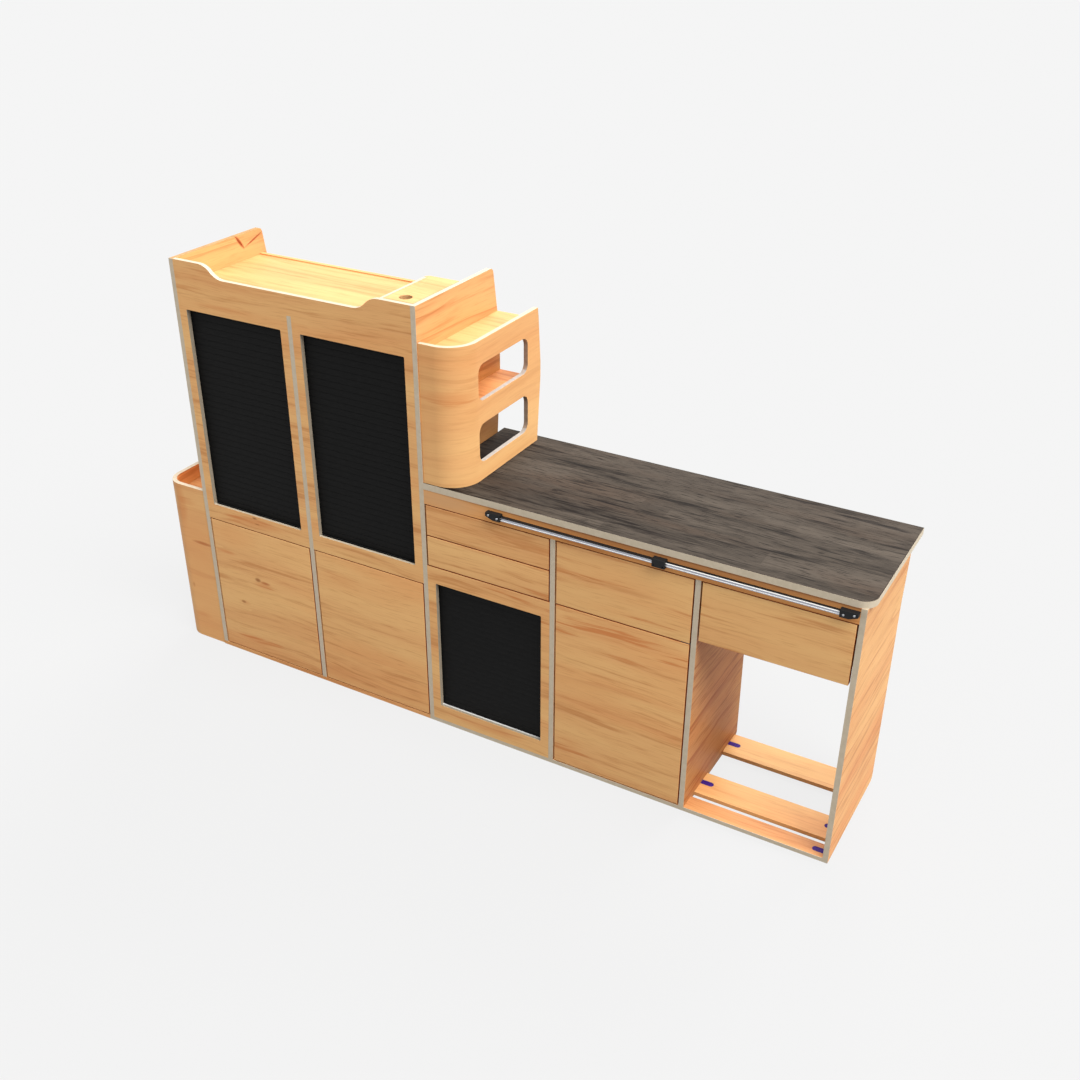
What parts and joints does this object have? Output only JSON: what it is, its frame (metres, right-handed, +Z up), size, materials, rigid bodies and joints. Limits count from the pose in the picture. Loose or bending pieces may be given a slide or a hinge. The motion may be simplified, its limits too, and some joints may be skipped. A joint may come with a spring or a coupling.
{
  "type": "van side cabinet",
  "caption": "Camper van side cabinet: tall unit with roller shutters and doors, worktop base with drawers, low shutter and open bay, shelf pod and end locker.",
  "frame": {"origin": "on the floor under the middle of the cabinet's box", "axes": "+X along the cabinet to the right seen from the front, +Y from the front to the van's wall, +Z up"},
  "size_m": [2.012, 0.399, 1.162],
  "materials": {
    "carcass_wood": "clear matt lacquer on maple veneered birch plywood",
    "front_wood": "clear matt lacquer on maple veneered birch plywood",
    "edge_band": "smooth grey beige edge band",
    "worktop_laminate": "dark oak decor, fine matt grain",
    "shutter_black": "matt black ribbed",
    "track_plastic": "matt black",
    "aluminium": "satin anodised",
    "bracket_black": "fine textured black",
    "steel": "zinc plated",
    "plug_purple": "plain"
  },
  "bodies": {
    "carcass": {"base_board": "carcass_wood", "base_face_frame": "front_wood", "bracket_screws": "steel", "corner_key": "carcass_wood", "door_catches": "bracket_black", "door_pivots": "steel", "end_panel": "carcass_wood", "first_divider": "carcass_wood", "fixed_slides": "steel", "front_edge_bands": "edge_band", "front_rail": "front_wood", "inner_shelves": "carcass_wood", "left_shutter_curtain": "shutter_black", "left_upright": "carcass_wood", "locker_bent_board": "carcass_wood", "locker_floor_board": "carcass_wood", "locker_top_board": "carcass_wood", "low_shutter_curtain": "shutter_black", "middle_divider": "carcass_wood", "open_bay_slats": "carcass_wood", "pod_bent_board": "carcass_wood", "pod_middle_shelf": "carcass_wood", "pod_top_board": "carcass_wood", "rail_end_brackets": "bracket_black", "rail_middle_bracket": "bracket_black", "rear_rails": "carcass_wood", "right_shutter_curtain": "shutter_black", "right_upright": "carcass_wood", "second_divider": "carcass_wood", "shutter_tracks": "track_plastic", "slot_plugs": "plug_purple", "table_rail": "aluminium", "table_rail_insert": "bracket_black", "tall_base_board": "carcass_wood", "tall_face_board": "front_wood", "tray_compartment_walls": "carcass_wood", "tray_floor": "carcass_wood", "tray_rear_rail": "carcass_wood", "worktop_board": "carcass_wood", "worktop_edge_band": "edge_band", "worktop_laminate": "worktop_laminate"},
    "left_door": {"left_door": "front_wood"},
    "right_door": {"right_door": "front_wood"},
    "low_door": {"low_door": "front_wood"},
    "left_shutter": {"left_shutter_lead_bar": "shutter_black"},
    "right_shutter": {"right_shutter_lead_bar": "shutter_black"},
    "low_shutter": {"low_shutter_lead_bar": "aluminium"},
    "compartment_lid": {"compartment_lid": "carcass_wood"},
    "upper_drawer": {"upper_drawer_front": "front_wood", "upper_drawer_box": "carcass_wood", "upper_drawer_slides": "steel"},
    "lower_drawer": {"lower_drawer_front": "front_wood", "lower_drawer_box": "carcass_wood", "lower_drawer_slides": "steel"},
    "deep_drawer": {"deep_drawer_front": "front_wood", "deep_drawer_box": "carcass_wood", "deep_drawer_slides": "steel"},
    "right_drawer": {"right_drawer_front": "front_wood", "right_drawer_box": "carcass_wood", "right_drawer_slides": "steel"}
  },
  "joints": [
    {"name": "left_door_hinge", "type": "hinge", "parent": "carcass", "child": "left_door", "pos_m": [-0.8332, -0.1775, 0.011], "axis": [0, 0, -1], "range_deg": [0, 110]},
    {"name": "right_door_hinge", "type": "hinge", "parent": "carcass", "child": "right_door", "pos_m": [-0.1358, -0.1775, 0.011], "axis": [0, 0, 1], "range_deg": [0, 110]},
    {"name": "low_door_hinge", "type": "hinge", "parent": "carcass", "child": "low_door", "pos_m": [0.6002, -0.1775, 0.011], "axis": [0, 0, 1], "range_deg": [0, 110]},
    {"name": "left_shutter_slide", "type": "slide", "parent": "carcass", "child": "left_shutter", "axis": [0, 0, 1], "range_m": [0, 0.546], "deforming": ["left_shutter_curtain"]},
    {"name": "right_shutter_slide", "type": "slide", "parent": "carcass", "child": "right_shutter", "axis": [0, 0, 1], "range_m": [0, 0.546], "deforming": ["right_shutter_curtain"]},
    {"name": "low_shutter_slide", "type": "slide", "parent": "carcass", "child": "low_shutter", "axis": [0, 0, 1], "range_m": [0, 0.373], "deforming": ["low_shutter_curtain"]},
    {"name": "upper_drawer_slide", "type": "slide", "parent": "carcass", "child": "upper_drawer", "axis": [0, -1, 0], "range_m": [0, 0.25]},
    {"name": "lower_drawer_slide", "type": "slide", "parent": "carcass", "child": "lower_drawer", "axis": [0, -1, 0], "range_m": [0, 0.25]},
    {"name": "deep_drawer_slide", "type": "slide", "parent": "carcass", "child": "deep_drawer", "axis": [0, -1, 0], "range_m": [0, 0.25]},
    {"name": "right_drawer_slide", "type": "slide", "parent": "carcass", "child": "right_drawer", "axis": [0, -1, 0], "range_m": [0, 0.25]},
    {"name": "lid_lift", "type": "slide", "parent": "carcass", "child": "compartment_lid", "axis": [0, 0, 1], "range_m": [0, 0.12]}
  ]
}
